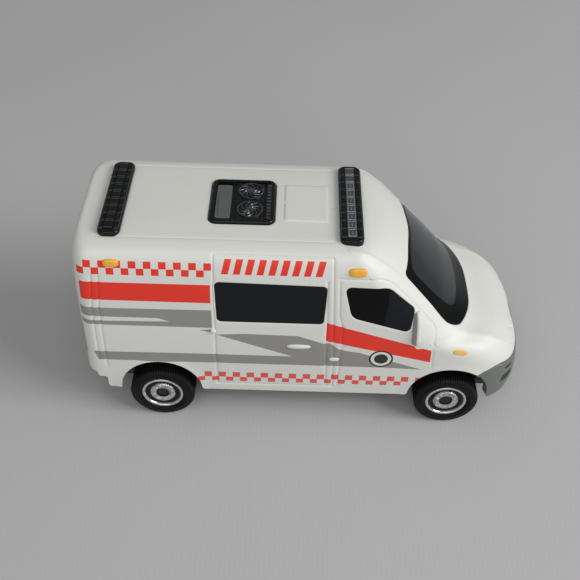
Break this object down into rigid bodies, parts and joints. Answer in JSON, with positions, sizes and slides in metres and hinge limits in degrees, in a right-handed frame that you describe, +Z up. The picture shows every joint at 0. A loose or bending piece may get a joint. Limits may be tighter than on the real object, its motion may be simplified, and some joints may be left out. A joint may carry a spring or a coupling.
{
  "type": "toy ambulance van",
  "caption": "White die-cast toy ambulance van with smoke windows, roof light bars, a roof vent, grey front bumper and free-running wheels.",
  "frame": {"origin": "on the ground at mid length and mid width", "axes": "+X forward, +Y to the left-hand side, +Z up"},
  "size_m": [0.0746, 0.0294, 0.0372],
  "materials": {
    "white_paint": "gloss",
    "grey_plastic": "satin",
    "base_plastic": "matte",
    "tray_plastic": "matte",
    "smoke_plastic": "gloss",
    "steel": "satin",
    "tyre_black": "satin",
    "hub_plastic": "gloss"
  },
  "bodies": {
    "van": {"body_shell": "white_paint", "front_bumper": "grey_plastic", "base_plate": "base_plastic", "interior_tray": "tray_plastic", "windscreen": "smoke_plastic", "cab_window_right": "smoke_plastic", "cab_window_left": "smoke_plastic", "saloon_window_right": "smoke_plastic", "saloon_window_left": "smoke_plastic", "rear_window_right": "smoke_plastic", "rear_window_left": "smoke_plastic", "front_light_bar": "smoke_plastic", "rear_light_bar": "smoke_plastic", "roof_vent": "smoke_plastic", "rivets": "steel"},
    "front_axle": {"front_axle": "steel"},
    "front_right_wheel": {"front_right_tyre": "tyre_black", "front_right_hub": "hub_plastic"},
    "front_left_wheel": {"front_left_tyre": "tyre_black", "front_left_hub": "hub_plastic"},
    "rear_axle": {"rear_axle": "steel"},
    "rear_right_wheel": {"rear_right_tyre": "tyre_black", "rear_right_hub": "hub_plastic"},
    "rear_left_wheel": {"rear_left_tyre": "tyre_black", "rear_left_hub": "hub_plastic"}
  },
  "joints": [
    {"name": "front_axle_spin", "type": "hinge", "parent": "van", "child": "front_axle", "pos_m": [0.02435, 0, 0.0055], "axis": [0, 1, 0], "continuous": true},
    {"name": "front_right_wheel_spin", "type": "hinge", "parent": "front_axle", "child": "front_right_wheel", "pos_m": [0.02435, 0, 0.0055], "axis": [0, 1, 0], "continuous": true},
    {"name": "front_left_wheel_spin", "type": "hinge", "parent": "front_axle", "child": "front_left_wheel", "pos_m": [0.02435, 0, 0.0055], "axis": [0, 1, 0], "continuous": true},
    {"name": "rear_axle_spin", "type": "hinge", "parent": "van", "child": "rear_axle", "pos_m": [-0.02435, 0, 0.0055], "axis": [0, 1, 0], "continuous": true},
    {"name": "rear_right_wheel_spin", "type": "hinge", "parent": "rear_axle", "child": "rear_right_wheel", "pos_m": [-0.02435, 0, 0.0055], "axis": [0, 1, 0], "continuous": true},
    {"name": "rear_left_wheel_spin", "type": "hinge", "parent": "rear_axle", "child": "rear_left_wheel", "pos_m": [-0.02435, 0, 0.0055], "axis": [0, 1, 0], "continuous": true}
  ]
}
